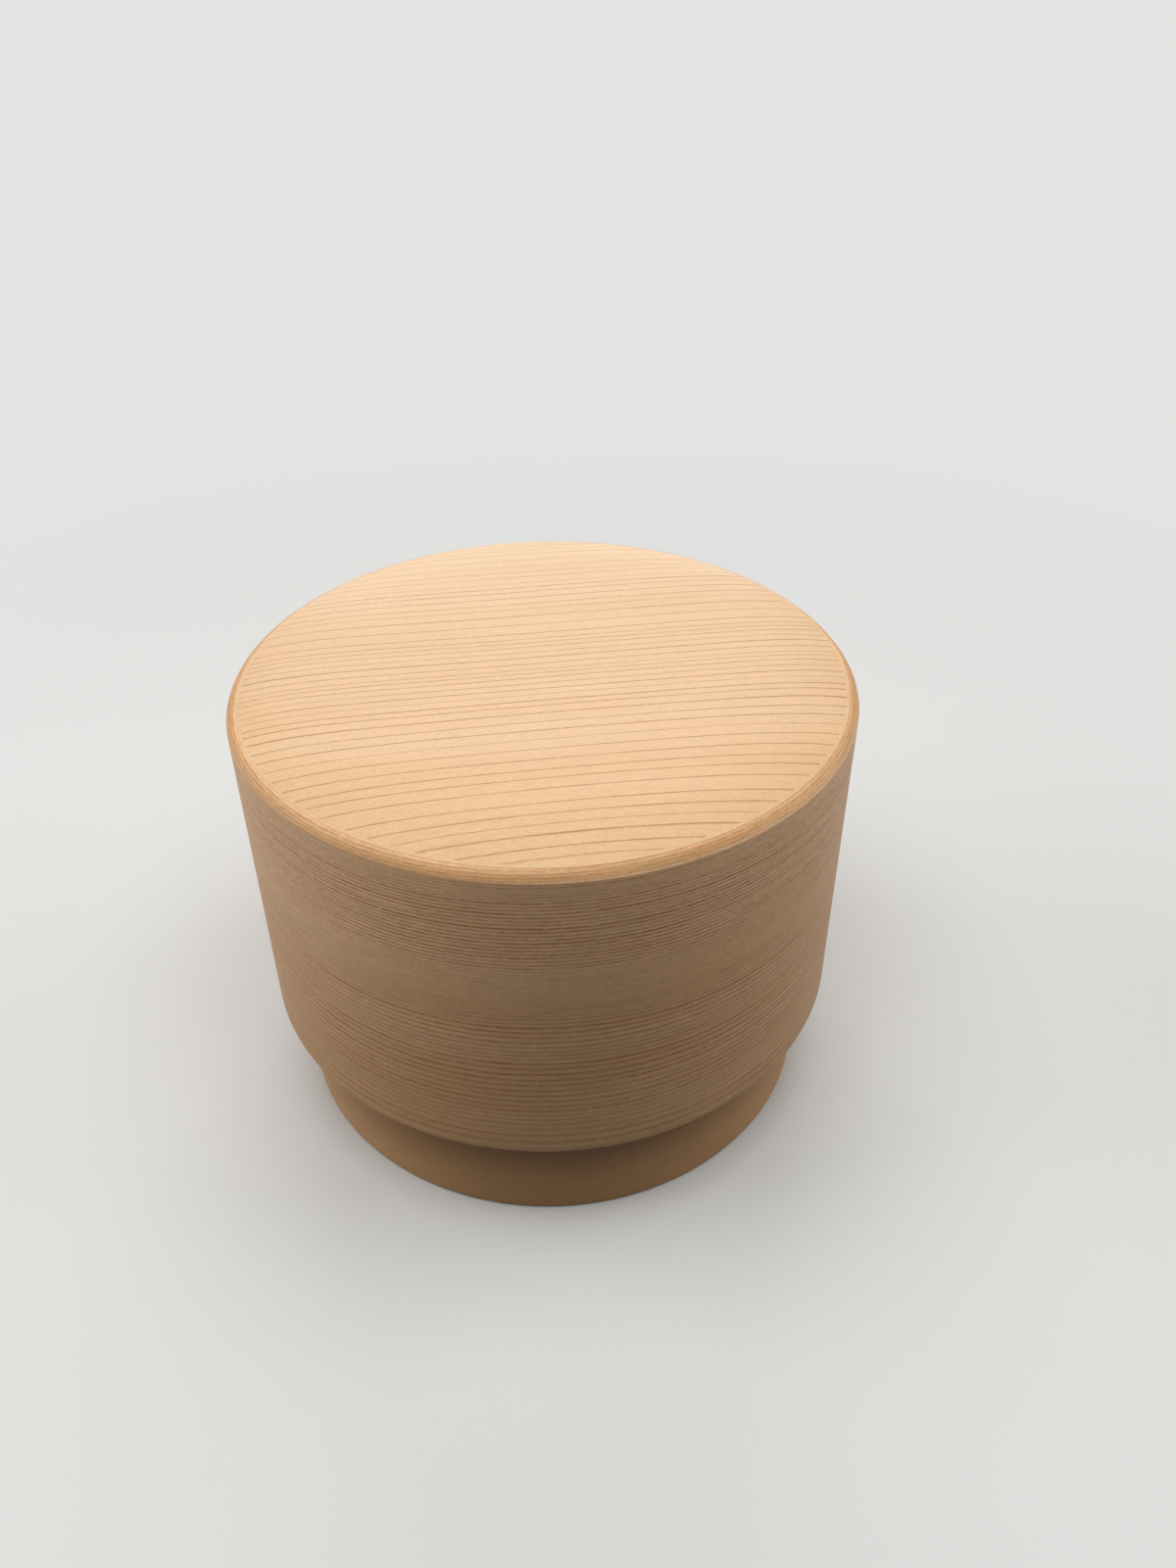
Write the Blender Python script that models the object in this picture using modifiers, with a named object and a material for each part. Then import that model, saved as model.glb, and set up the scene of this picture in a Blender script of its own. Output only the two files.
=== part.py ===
"""Round bentwood lunch box with a deep lid that slips over its body.

Lengths are in metres and +Z is up. The box stands on Z = 0 with its axis on Z,
its front towards -Y and the laps of its hoops at the back, towards +Y.
The lid's pieces hang on one empty on the axis, and lift off along +Z.
"""

import math

import bmesh
import bpy

# Gaps and allowances
TOUCH_GAP = 0.0003  # between pieces that are glued or rest on each other
CUT_OVERRUN = 0.0020  # how far a cutter reaches past what it cuts

# How finely round shapes are divided
ROUND_STEPS = 96
EDGE_STEPS = 3
RIM_STEPS = 6
BEND_STEPS = 3
CROWN_STEPS = 7
SHARP_ANGLE = math.radians(32)

# Body hoop: a thin board bent round and lapped
BODY_OUTER_RADIUS = 0.0622
BODY_WALL = 0.0040
BODY_HEIGHT = 0.0970
BODY_EDGE_ROUNDING = 0.0008

# Bottom board, let into a rebate in the foot of the body hoop
FOOT_LIP = 0.0028
BOTTOM_THICKNESS = 0.0060
BOTTOM_RECESS = 0.0015
BOTTOM_EDGE_ROUNDING = 0.0004

# Lid hoop, which slips over the body with an even clearance
LID_CLEARANCE = 0.0014
LID_WALL = 0.0044
LID_HOOP_HEIGHT = 0.0766
LID_LIP = 0.0019  # the rim's rounding takes the whole of this width
LID_EDGE_ROUNDING = 0.0009

# Top board of the lid, let into the rim and crowned
TOP_EDGE_THICKNESS = 0.0063
TOP_CROWN = 0.0020
CROWN_POWER = 7  # flat in the middle, falling away near the rim
TOP_EDGE_ROUNDING = 0.0003

# Laps of the hoops, at the back
SEAM_AZIMUTH = math.radians(90)
LAP_LENGTH = 0.0340
LAP_MARGIN = 0.0085  # from the outer end of the lap to the middle of the lacing
LAP_LINE_WIDTH = 0.0005
LAP_LINE_DEPTH = 0.0003

# Cherry bark lacing: one flat strip to a hoop, sewn out and in through slits
LACE_WIDTH = 0.0050
LACE_THICKNESS = 0.0006
LACE_BEND = 0.0008  # radius of the strip's middle line where it turns
LACE_OUTER_RUN = 0.0080
LACE_INNER_RUN = 0.0040
LACE_MARGIN = 0.0060  # least distance from the row of stitches to a hoop's foot or board
LACE_PROUD = 0.0002  # on the faces that nothing slides along
LACE_SUNK = 0.0001  # on the faces that slide past each other

# Sizes that follow from the ones above
BODY_INNER_RADIUS = BODY_OUTER_RADIUS - BODY_WALL
REBATE_RADIUS = BODY_OUTER_RADIUS - FOOT_LIP
BOTTOM_TOP = BOTTOM_RECESS + BOTTOM_THICKNESS
LID_INNER_RADIUS = BODY_OUTER_RADIUS + LID_CLEARANCE
LID_OUTER_RADIUS = LID_INNER_RADIUS + LID_WALL
TOP_RADIUS = LID_OUTER_RADIUS - LID_LIP - TOUCH_GAP
TOP_UNDERSIDE = BODY_HEIGHT + TOUCH_GAP
LID_RIM = TOP_UNDERSIDE + TOP_EDGE_THICKNESS
LID_FOOT = LID_RIM - LID_HOOP_HEIGHT
LEDGE = TOP_UNDERSIDE - TOUCH_GAP - LID_FOOT  # seat of the top board, above the lid's foot

# Colours, linear red, green and blue
TOP_COLOUR = (0.80, 0.58, 0.36)
HOOP_COLOUR = (0.66, 0.46, 0.28)
BARK_COLOUR = (0.16, 0.06, 0.03)
WOOD_ROUGHNESS = 0.55
BARK_ROUGHNESS = 0.38


def clear_scene():
    """Removes whatever the file held."""
    for obj in list(bpy.data.objects):
        bpy.data.objects.remove(obj)


def new_collection(name):
    """Makes a collection and links it to the scene."""
    collection = bpy.data.collections.new(name)
    bpy.context.scene.collection.children.link(collection)
    return collection


def material(name, colour, roughness):
    """Makes a plain finish."""
    finish = bpy.data.materials.new(name)
    finish.use_nodes = True
    shader = finish.node_tree.nodes["Principled BSDF"]
    shader.inputs["Base Color"].default_value = (*colour, 1)
    shader.inputs["Roughness"].default_value = roughness
    shader.inputs["Metallic"].default_value = 0
    finish.diffuse_color = (*colour, 1)
    return finish


def arc(centre_r, centre_z, radius, start, end, steps):
    """Points of an arc in the half plane of radius and height, angles in degrees."""
    points = []
    for step in range(steps + 1):
        angle = math.radians(start + (end - start) * step / steps)
        points.append((centre_r + radius * math.cos(angle), centre_z + radius * math.sin(angle)))
    return points


def turned(name, outline, ring, collection):
    """Turns an outline at +X about Z. A ring's outline closes on itself."""
    edges = [(i, i + 1) for i in range(len(outline) - 1)]
    if ring:
        edges.append((len(outline) - 1, 0))
    mesh = bpy.data.meshes.new(name)
    mesh.from_pydata([(radius, 0, height) for radius, height in outline], edges, [])
    obj = bpy.data.objects.new(name, mesh)
    collection.objects.link(obj)
    screw = obj.modifiers.new("turn", "SCREW")
    screw.axis = "Z"
    screw.angle = math.tau
    screw.steps = ROUND_STEPS
    screw.render_steps = ROUND_STEPS
    screw.use_merge_vertices = True
    screw.merge_threshold = 0.00001
    fix_mesh(obj)
    return obj


def fix_mesh(obj):
    """Makes the modifiers' result the object's mesh, smooth but for its true edges."""
    bpy.context.view_layer.update()
    depsgraph = bpy.context.evaluated_depsgraph_get()
    mesh = bpy.data.meshes.new_from_object(obj.evaluated_get(depsgraph))
    obj.modifiers.clear()
    obj.data = mesh
    mesh.name = obj.name
    mesh.shade_smooth()
    mesh.set_sharp_from_angle(angle=SHARP_ANGLE)


def cut(obj, cutter):
    """Cuts one object with another, which stays as a hidden guide."""
    boolean = obj.modifiers.new(cutter.name, "BOOLEAN")
    boolean.operation = "DIFFERENCE"
    boolean.solver = "EXACT"
    boolean.object = cutter
    cutter.hide_render = True
    cutter.display_type = "WIRE"


def box(name, low, high, azimuth, collection):
    """A box between two corners in radius, tangent and height, turned to an azimuth."""
    bpy.ops.mesh.primitive_cube_add(size=1)
    obj = bpy.context.object
    obj.name = name
    for old in list(obj.users_collection):
        old.objects.unlink(obj)
    collection.objects.link(obj)
    for vertex in obj.data.vertices:
        for axis in range(3):
            middle = (low[axis] + high[axis]) / 2
            vertex.co[axis] = middle + vertex.co[axis] * (high[axis] - low[axis])
    obj.rotation_euler.z = azimuth
    return obj


def lace_levels(foot, head):
    """Heights of the slits: as many stitches as fit between two heights, centred."""
    room = head - foot - 2 * LACE_MARGIN
    stitches = int((room + LACE_INNER_RUN) / (LACE_OUTER_RUN + LACE_INNER_RUN))
    row = stitches * LACE_OUTER_RUN + (stitches - 1) * LACE_INNER_RUN
    level = (foot + head - row) / 2
    levels = []
    for _ in range(stitches):
        levels += [level, level + LACE_OUTER_RUN]
        level += LACE_OUTER_RUN + LACE_INNER_RUN
    return levels


def lace_line(outside, inside, levels):
    """Middle line of a strip that weaves through a wall, with its turns rounded."""
    corners = [(inside, levels[0] - LACE_INNER_RUN)]
    for number, level in enumerate(levels):
        first, second = (inside, outside) if number % 2 == 0 else (outside, inside)
        corners += [(first, level), (second, level)]
    corners.append((inside, levels[-1] + LACE_INNER_RUN))
    points = [corners[0]]
    for before, corner, after in zip(corners, corners[1:], corners[2:]):
        points += bend(before, corner, after)
    points.append(corners[-1])
    return points


def bend(before, corner, after):
    """Points of a quarter turn that rounds a square corner."""
    into = unit(before, corner)
    out = unit(corner, after)
    centre = [corner[i] + LACE_BEND * (out[i] - into[i]) for i in range(2)]
    points = []
    for step in range(BEND_STEPS + 1):
        angle = math.pi / 2 * step / BEND_STEPS
        cosine = math.cos(angle)
        sine = math.sin(angle)
        points.append(tuple(centre[i] + LACE_BEND * (into[i] * sine - out[i] * cosine) for i in range(2)))
    return points


def unit(start, end):
    """Direction from one point of a plane to another."""
    length = math.dist(start, end)
    return [(end[i] - start[i]) / length for i in range(2)]


def strip(name, line, width, thickness, collection):
    """A flat strip of even thickness along a line, at the azimuth of the seams."""
    shape = bmesh.new()
    points = [shape.verts.new((radius, -width / 2, height)) for radius, height in line]
    edges = [shape.edges.new(pair) for pair in zip(points, points[1:])]
    swept = bmesh.ops.extrude_edge_only(shape, edges=edges)
    moved = [part for part in swept["geom"] if isinstance(part, bmesh.types.BMVert)]
    bmesh.ops.translate(shape, verts=moved, vec=(0, width, 0))
    mesh = bpy.data.meshes.new(name)
    shape.to_mesh(mesh)
    shape.free()
    obj = bpy.data.objects.new(name, mesh)
    collection.objects.link(obj)
    obj.rotation_euler.z = SEAM_AZIMUTH
    solidify = obj.modifiers.new("thickness", "SOLIDIFY")
    solidify.thickness = thickness
    solidify.offset = 0
    solidify.use_even_offset = True
    return obj


def lap_lines(hoop, inner_radius, outer_radius, height, cutters):
    """Scores the two ends of a hoop's lap: one on the outer face, one on the inner."""
    outer_end = SEAM_AZIMUTH - LAP_MARGIN / outer_radius
    inner_end = outer_end + LAP_LENGTH / outer_radius
    half = LAP_LINE_WIDTH / 2
    outer_low = (outer_radius - LAP_LINE_DEPTH, -half, -CUT_OVERRUN)
    outer_high = (outer_radius + CUT_OVERRUN, half, height + CUT_OVERRUN)
    inner_low = (inner_radius - CUT_OVERRUN, -half, -CUT_OVERRUN)
    inner_high = (inner_radius + LAP_LINE_DEPTH, half, height + CUT_OVERRUN)
    for side, low, high, azimuth in (
        ("outer", outer_low, outer_high, outer_end),
        ("inner", inner_low, inner_high, inner_end),
    ):
        cutter = box(f"{hoop.name}_{side}_lap_line", low, high, azimuth, cutters)
        cutter.parent = hoop.parent
        cut(hoop, cutter)


def lace_hoop(hoop, name, line, parts, cutters):
    """Sews a bark strip through a hoop, in a channel that follows the strip."""
    lace = strip(name, line, LACE_WIDTH, LACE_THICKNESS, parts)
    channel_width = LACE_WIDTH + 2 * TOUCH_GAP
    channel_depth = LACE_THICKNESS + 2 * TOUCH_GAP
    channel = strip(f"{name}_channel", line, channel_width, channel_depth, cutters)
    for piece in (lace, channel):
        piece.parent = hoop.parent
    cut(hoop, channel)
    return lace


def body_hoop_outline():
    """Section of the body hoop: round edges, and a rebate for the bottom board."""
    edge = BODY_EDGE_ROUNDING
    outer = BODY_OUTER_RADIUS - edge
    inner = BODY_INNER_RADIUS + edge
    return [
        *arc(outer, BODY_HEIGHT - edge, edge, 90, 0, EDGE_STEPS),
        *arc(outer, edge, edge, 0, -90, EDGE_STEPS),
        (REBATE_RADIUS, 0),
        (REBATE_RADIUS, BOTTOM_TOP + TOUCH_GAP),
        (BODY_INNER_RADIUS, BOTTOM_TOP + TOUCH_GAP),
        *arc(inner, BODY_HEIGHT - edge, edge, 180, 90, EDGE_STEPS),
    ]


def bottom_board_outline():
    """Section of the bottom board, from the middle of its top to the middle below."""
    edge = BOTTOM_EDGE_ROUNDING
    radius = REBATE_RADIUS - TOUCH_GAP
    return [
        (0, BOTTOM_TOP),
        *arc(radius - edge, BOTTOM_TOP - edge, edge, 90, 0, EDGE_STEPS),
        *arc(radius - edge, BOTTOM_RECESS + edge, edge, 0, -90, EDGE_STEPS),
        (0, BOTTOM_RECESS),
    ]


def lid_hoop_outline():
    """Section of the lid hoop above its foot: a round rim, with a rebate for the top board."""
    edge = LID_EDGE_ROUNDING
    outer = LID_OUTER_RADIUS - edge
    inner = LID_INNER_RADIUS + edge
    rim = LID_OUTER_RADIUS - LID_LIP
    return [
        *arc(rim, LID_HOOP_HEIGHT - LID_LIP, LID_LIP, 90, 0, RIM_STEPS),
        *arc(outer, edge, edge, 0, -90, EDGE_STEPS),
        *arc(inner, edge, edge, -90, -180, EDGE_STEPS),
        (LID_INNER_RADIUS, LEDGE),
        (rim, LEDGE),
    ]


def top_board_outline():
    """Section of the top board above the lid's foot: flat below, crowned above."""
    edge = TOP_EDGE_ROUNDING
    shoulder = TOP_RADIUS - edge
    underside = TOP_UNDERSIDE - LID_FOOT
    crown = []
    for step in range(CROWN_STEPS + 1):
        share = math.sqrt(step / CROWN_STEPS)
        fall = TOP_CROWN * share**CROWN_POWER
        crown.append((shoulder * share, LID_HOOP_HEIGHT + TOP_CROWN - fall))
    return [
        *crown,
        *arc(shoulder, LID_HOOP_HEIGHT - edge, edge, 60, 0, EDGE_STEPS - 1),
        *arc(shoulder, underside + edge, edge, 0, -90, EDGE_STEPS),
        (0, underside),
    ]


def build_body(parts, cutters, hoop_finish, board_finish, bark_finish):
    """Makes the hoop, the bottom board and the lacing of the body."""
    hoop = turned("body_hoop", body_hoop_outline(), True, parts)
    lap_lines(hoop, BODY_INNER_RADIUS, BODY_OUTER_RADIUS, BODY_HEIGHT, cutters)
    outside = BODY_OUTER_RADIUS - LACE_SUNK - LACE_THICKNESS / 2
    inside = BODY_INNER_RADIUS - LACE_PROUD + LACE_THICKNESS / 2
    levels = lace_levels(BOTTOM_TOP, BODY_HEIGHT)
    line = lace_line(outside, inside, levels)
    lace = lace_hoop(hoop, "body_bark_lace", line, parts, cutters)
    board = turned("bottom_board", bottom_board_outline(), False, parts)
    dress(hoop, hoop_finish)
    dress(board, board_finish)
    dress(lace, bark_finish)


def build_lid(parts, cutters, hoop_finish, board_finish, bark_finish):
    """Makes the hoop, the top board and the lacing of the lid, on an empty on the axis."""
    axis = bpy.data.objects.new("lid_axis", None)
    parts.objects.link(axis)
    axis.location.z = LID_FOOT
    hoop = turned("lid_hoop", lid_hoop_outline(), True, parts)
    board = turned("top_board", top_board_outline(), False, parts)
    for piece in (hoop, board):
        piece.parent = axis
    lap_lines(hoop, LID_INNER_RADIUS, LID_OUTER_RADIUS, LEDGE, cutters)
    outside = LID_OUTER_RADIUS + LACE_PROUD - LACE_THICKNESS / 2
    inside = LID_INNER_RADIUS + LACE_SUNK + LACE_THICKNESS / 2
    levels = lace_levels(0, LEDGE)
    line = lace_line(outside, inside, levels)
    lace = lace_hoop(hoop, "lid_bark_lace", line, parts, cutters)
    dress(hoop, hoop_finish)
    dress(board, board_finish)
    dress(lace, bark_finish)


def dress(obj, finish):
    """Gives an object its own copy of a finish."""
    own = finish.copy()
    own.name = f"{obj.name}_{finish.name}"
    obj.data.materials.clear()
    obj.data.materials.append(own)


def main():
    """Builds the box, closed."""
    clear_scene()
    parts = new_collection("bento_box")
    cutters = new_collection("cutters")
    hoop_finish = material("bent_cedar", HOOP_COLOUR, WOOD_ROUGHNESS)
    board_finish = material("cedar_board", TOP_COLOUR, WOOD_ROUGHNESS)
    bark_finish = material("cherry_bark", BARK_COLOUR, BARK_ROUGHNESS)
    build_body(parts, cutters, hoop_finish, board_finish, bark_finish)
    build_lid(parts, cutters, hoop_finish, board_finish, bark_finish)


main()
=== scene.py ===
"""Looks of a round bentwood lunch box with a deep lid that slips over its body.

Lengths are in metres and +Z is up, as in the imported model. The box stands on Z = 0 with
its axis on Z, its front towards -Y and the laps of its hoops at the back, towards +Y.
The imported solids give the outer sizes. Each piece is modelled afresh in the space of its
solid and gets a procedural finish, which reads object coordinates in millimetres.
"""

import logging
import math
from abc import ABC, abstractmethod
from dataclasses import dataclass, replace
from enum import Enum
from typing import ClassVar

import bmesh
import bpy
from mathutils import Matrix, Vector

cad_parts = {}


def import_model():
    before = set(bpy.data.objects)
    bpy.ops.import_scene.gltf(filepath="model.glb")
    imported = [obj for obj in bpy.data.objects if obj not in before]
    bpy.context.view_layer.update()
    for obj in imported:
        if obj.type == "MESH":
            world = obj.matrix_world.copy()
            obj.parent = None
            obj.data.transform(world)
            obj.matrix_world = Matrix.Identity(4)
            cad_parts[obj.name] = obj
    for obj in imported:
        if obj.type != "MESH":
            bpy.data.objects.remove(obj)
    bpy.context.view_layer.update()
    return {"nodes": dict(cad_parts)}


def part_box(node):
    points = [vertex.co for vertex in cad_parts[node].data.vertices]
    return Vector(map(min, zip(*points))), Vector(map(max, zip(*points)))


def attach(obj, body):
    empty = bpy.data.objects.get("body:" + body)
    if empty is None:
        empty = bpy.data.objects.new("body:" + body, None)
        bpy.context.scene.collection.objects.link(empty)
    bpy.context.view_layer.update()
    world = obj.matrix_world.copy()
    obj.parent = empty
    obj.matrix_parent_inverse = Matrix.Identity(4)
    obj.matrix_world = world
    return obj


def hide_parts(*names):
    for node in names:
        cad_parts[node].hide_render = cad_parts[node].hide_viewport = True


LOG = logging.getLogger("lunch_box")

Point = tuple[float, float]
Place = tuple[float, float, float]
Colour = tuple[float, float, float]
Shape = bmesh.types.BMesh
Socket = bpy.types.NodeSocket
Number = Socket | float
Shade = Socket | Colour

MILLIMETRES = 1000.0  # in a metre
TOUCH_GAP = 0.0003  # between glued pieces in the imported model
HAIRLINE = 0.00002  # between glued pieces here
MERGE_DISTANCE = 0.000001
EDGE_STEPS = 6  # of a hoop's rounded edge
SEAM_AZIMUTH = math.radians(90)


class Face(Enum):
    """The two walls of a hoop."""

    OUTER = 1
    INNER = -1


class Slot(Enum):
    """The material slots, by name."""

    HOOP = "bent_cedar"
    BOARD = "cedar_board"
    BARK = "cherry_bark"


def arc(centre: Point, radius: float, start: float, end: float, steps: int) -> list[Point]:
    """Makes the points of an arc from one angle to another, in degrees from the outward direction."""
    angles = [math.radians(start + (end - start) * step / steps) for step in range(steps + 1)]
    return [(centre[0] + radius * math.cos(angle), centre[1] + radius * math.sin(angle)) for angle in angles]


def spun(outline: list[Point], ring: bool, steps: int, start: float, sweep: float = math.tau) -> Shape:
    """Spins a section about Z.

    Args:
        outline: The section, as points of radius and height.
        ring: Whether the section closes on itself.
        steps: How many steps the turn has.
        start: Azimuth of the first step.
        sweep: Angle of the turn.

    Returns:
        The shape with its faces outwards.
    """
    shape = bmesh.new()
    along = Vector((math.cos(start), math.sin(start), 0))
    verts = [shape.verts.new(along * radius + Vector((0, 0, height))) for radius, height in outline]
    edges = [shape.edges.new(pair) for pair in zip(verts, verts[1:])]
    if ring:
        edges.append(shape.edges.new((verts[-1], verts[0])))
    full = sweep == math.tau
    bmesh.ops.spin(
        shape, geom=verts + edges, cent=(0, 0, 0), axis=(0, 0, 1), angle=sweep, steps=steps, use_merge=full
    )
    bmesh.ops.remove_doubles(shape, verts=shape.verts, dist=MERGE_DISTANCE)
    bmesh.ops.recalc_face_normals(shape, faces=shape.faces)
    return shape


def as_object(shape: Shape, name: str, sharp_angle: float) -> bpy.types.Object:
    """Turns a finished shape into an object at the origin.

    Args:
        shape: The shape, which is freed.
        name: The object's name.
        sharp_angle: Angle in radians from which an edge isn't shaded smooth.

    Returns:
        The object, in the scene.
    """
    mesh = bpy.data.meshes.new(name)
    shape.to_mesh(mesh)
    shape.free()
    mesh.shade_smooth()
    mesh.set_sharp_from_angle(angle=sharp_angle)
    piece = bpy.data.objects.new(name, mesh)
    bpy.context.scene.collection.objects.link(piece)
    return piece


class Graph:
    """A node tree, with short calls for the nodes that the finishes share."""

    MIX_SHARE, MIX_LOW, MIX_HIGH, MIX_RESULT = 0, 6, 7, 2  # a mix node's sockets for colours

    def __init__(self, owner: bpy.types.Material | bpy.types.World) -> None:
        """Opens the node tree of a new material or world."""
        owner.use_nodes = True
        self.nodes, self.links = owner.node_tree.nodes, owner.node_tree.links

    def feed(self, socket: Socket, value: Number | Place) -> None:
        """Links a socket to another, or sets its value.

        Args:
            socket: The socket that is fed.
            value: The other socket, a number, a vector or a colour.
        """
        if isinstance(value, Socket):
            self.links.new(value, socket)
        elif socket.type == "RGBA":
            socket.default_value = (*value, 1.0)
        else:
            socket.default_value = value

    def add(self, kind: str, inputs: dict[int | str, Number | Place], **options: str) -> bpy.types.Node:
        """Adds a node.

        Args:
            kind: Its type, without the word that all shader nodes start with.
            inputs: What its inputs are fed, by number or name.
            options: Its own options.

        Returns:
            The node.
        """
        node = self.nodes.new(f"ShaderNode{kind}")
        for name, option in options.items():
            setattr(node, name, option)
        for name, value in inputs.items():
            self.feed(node.inputs[name], value)
        return node

    def math(self, operation: str, *values: Number) -> Socket:
        """Adds one sum on one to three numbers."""
        return self.add("Math", dict(enumerate(values)), operation=operation).outputs[0]

    def vector(self, *values: Number) -> Socket:
        """Joins two or three numbers into a vector."""
        return self.add("CombineXYZ", dict(enumerate(values))).outputs[0]

    def scaled(self, vector: Socket, factor: Number) -> Socket:
        """Multiplies a vector or a colour by one number."""
        return self.add("VectorMath", {"Vector": vector, "Scale": factor}, operation="SCALE").outputs[0]

    def object_place(self, turn: float = 0.0) -> tuple[Socket, ...]:
        """Reads the place on the piece in millimetres, turned about Z.

        Args:
            turn: Angle in radians by which the places are turned.

        Returns:
            The three coordinates.
        """
        coordinates = self.add("TexCoord", {}).outputs["Object"]
        inputs = {"Vector": coordinates, "Rotation": (0.0, 0.0, turn), "Scale": (MILLIMETRES,) * 3}
        return tuple(self.add("SeparateXYZ", {0: self.add("Mapping", inputs).outputs["Vector"]}).outputs)

    def from_axis(self) -> Socket:
        """Gives the distance from the piece's axis in millimetres."""
        x, y, _ = self.object_place()
        return self.math("SQRT", self.math("ADD", self.math("MULTIPLY", x, x), self.math("MULTIPLY", y, y)))

    def noise(self, vector: Socket, detail: float, roughness: float = 0.5) -> Socket:
        """Adds smooth noise from 0 to 1, one swell to about one unit of the vector."""
        inputs = {"Vector": vector, "Scale": 1.0, "Detail": detail, "Roughness": roughness}
        return self.add("TexNoise", inputs, noise_dimensions="3D").outputs["Fac"]

    def chance(self, number: Socket) -> Socket:
        """Gives each whole number its own even chance value from 0 to 1."""
        return self.add("TexWhiteNoise", {"W": number}, noise_dimensions="1D").outputs["Value"]

    def swell(
        self, value: Socket, low: Number, high: Number, to_low: Number = 0.0, to_high: Number = 1.0
    ) -> Socket:
        """Maps a number smoothly from one range to another, and holds it at both ends."""
        inputs = {"Value": value, "From Min": low, "From Max": high, "To Min": to_low, "To Max": to_high}
        return self.add("MapRange", inputs, interpolation_type="SMOOTHSTEP").outputs["Result"]

    def curve(self, value: Socket, points: list[Point]) -> Socket:
        """Reads a smooth curve.

        Args:
            value: Where it is read, from 0 to 1.
            points: The points that it runs through, from 0 to 1 both ways.

        Returns:
            The curve's height there.
        """
        node = self.add("FloatCurve", {"Value": value})
        line = node.mapping.curves[0]
        line.points[0].location = points[0]
        line.points[1].location = points[-1]
        for point in points[1:-1]:
            line.points.new(*point)
        for point in line.points:
            point.handle_type = "AUTO_CLAMPED"
        node.mapping.update()
        return node.outputs["Value"]

    def mix(self, share: Number, low: Shade, high: Shade) -> Socket:
        """Mixes two colours."""
        inputs = {self.MIX_SHARE: share, self.MIX_LOW: low, self.MIX_HIGH: high}
        return self.add("Mix", inputs, data_type="RGBA").outputs[self.MIX_RESULT]

    def blend(self, share: Socket, first: bpy.types.Node, second: bpy.types.Node, output: str) -> None:
        """Feeds the output with a mix of two shaders."""
        inputs = {0: share, 1: first.outputs[0], 2: second.outputs[0]}
        self.feed(self.nodes[output].inputs["Surface"], self.add("MixShader", inputs).outputs[0])

    def dress(self, colour: Socket, roughness: Socket, height: Socket, relief: float) -> None:
        """Feeds the material's main shader.

        Args:
            colour: The surface's colour.
            roughness: Its roughness.
            height: Its raised pattern, from 0 to 1.
            relief: How far 1 is raised above 0, in metres.
        """
        bump = self.add("Bump", {"Strength": 1.0, "Distance": relief, "Height": height})
        shader = self.nodes["Principled BSDF"]
        self.feed(shader.inputs["Base Color"], colour)
        self.feed(shader.inputs["Roughness"], roughness)
        self.feed(shader.inputs["Normal"], bump.outputs["Normal"])


@dataclass(frozen=True)
class RingSize:
    """Radii and heights of a round piece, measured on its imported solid."""

    outer: float
    inner: float
    foot: float
    head: float

    @classmethod
    def of(cls, node: bpy.types.Object) -> "RingSize":
        """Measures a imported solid."""
        radii, heights = zip(*[(math.hypot(*vertex.co.xy), vertex.co.z) for vertex in node.data.vertices])
        return cls(max(radii), min(radii), min(heights), max(heights))


@dataclass(frozen=True, kw_only=True)
class Figure:
    """One figure of wood or bark: smooth noise, stretched to its own pitches."""

    along: float  # swells to a millimetre
    across: float
    detail: float
    roughness: float = 0.5
    bare: float = 0.0  # noise up to which there is none of it
    full: float = 1.0  # noise from which on there is all of it
    shift: float = 0.0  # of the place in the noise


@dataclass(frozen=True)
class Grain:
    """The places in the grain of one piece, in millimetres, where its figures are drawn."""

    graph: Graph
    across: Socket
    along: Socket
    third: Number  # place in the noise that is left over

    def noise(self, figure: Figure) -> Socket:
        """Draws a figure as plain noise.

        Args:
            figure: The figure.

        Returns:
            The noise, from 0 to 1.
        """
        along = self.graph.math("MULTIPLY", self.along, figure.along)
        across = self.graph.math("MULTIPLY", self.across, figure.across)
        third = self.third + figure.shift if figure.shift else self.third
        return self.graph.noise(self.graph.vector(along, across, third), figure.detail, figure.roughness)

    def swell(self, figure: Figure, low: float = 0.0, high: float = 1.0) -> Socket:
        """Draws a figure between two strengths."""
        return self.graph.swell(self.noise(figure), figure.bare, figure.full, low, high)


@dataclass(frozen=True)
class GrainZone:
    """Growth rings and tone at one place across the grain."""

    place_share: float  # of the way across
    ring: float  # width of a ring, in millimetres
    depth: float  # how dark its late wood is, from 0 to 1
    tone: float = 0.5  # of the early wood, from pale, 0, to warm, 1; on the hoops it also paints light and shade


class RingScale:
    """Counts the growth rings across a board whose rings change width from zone to zone."""

    STEPS = 60

    def __init__(self, zones: tuple[GrainZone, ...], span: float) -> None:
        """Adds up the rings.

        Args:
            zones: The zones that they follow.
            span: How far these reach, in millimetres.
        """
        self.zones = zones
        self.widest = max(zone.ring for zone in zones)
        counts = [0.0]
        for step in range(self.STEPS):
            counts.append(counts[-1] + span / self.STEPS / self.ring_at((step + 0.5) / self.STEPS))
        self.total = counts[-1]
        self.counts = [(step / self.STEPS, count / self.total) for step, count in enumerate(counts)]

    def ring_at(self, place_share: float) -> float:
        """Reads the ring width at one place, between two of the zones.

        Args:
            place_share: The place, as a share of the way across.

        Returns:
            The width in millimetres.
        """
        for low, high in zip(self.zones, self.zones[1:]):
            if place_share <= high.place_share:
                part = (place_share - low.place_share) / (high.place_share - low.place_share)
                return low.ring + (high.ring - low.ring) * part
        return self.zones[-1].ring

    def curve(self, name: str, top: float = 1.0) -> list[Point]:
        """Gives one of the zones' numbers as a curve, in shares of its top."""
        return [(zone.place_share, getattr(zone, name) / top) for zone in self.zones]


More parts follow.
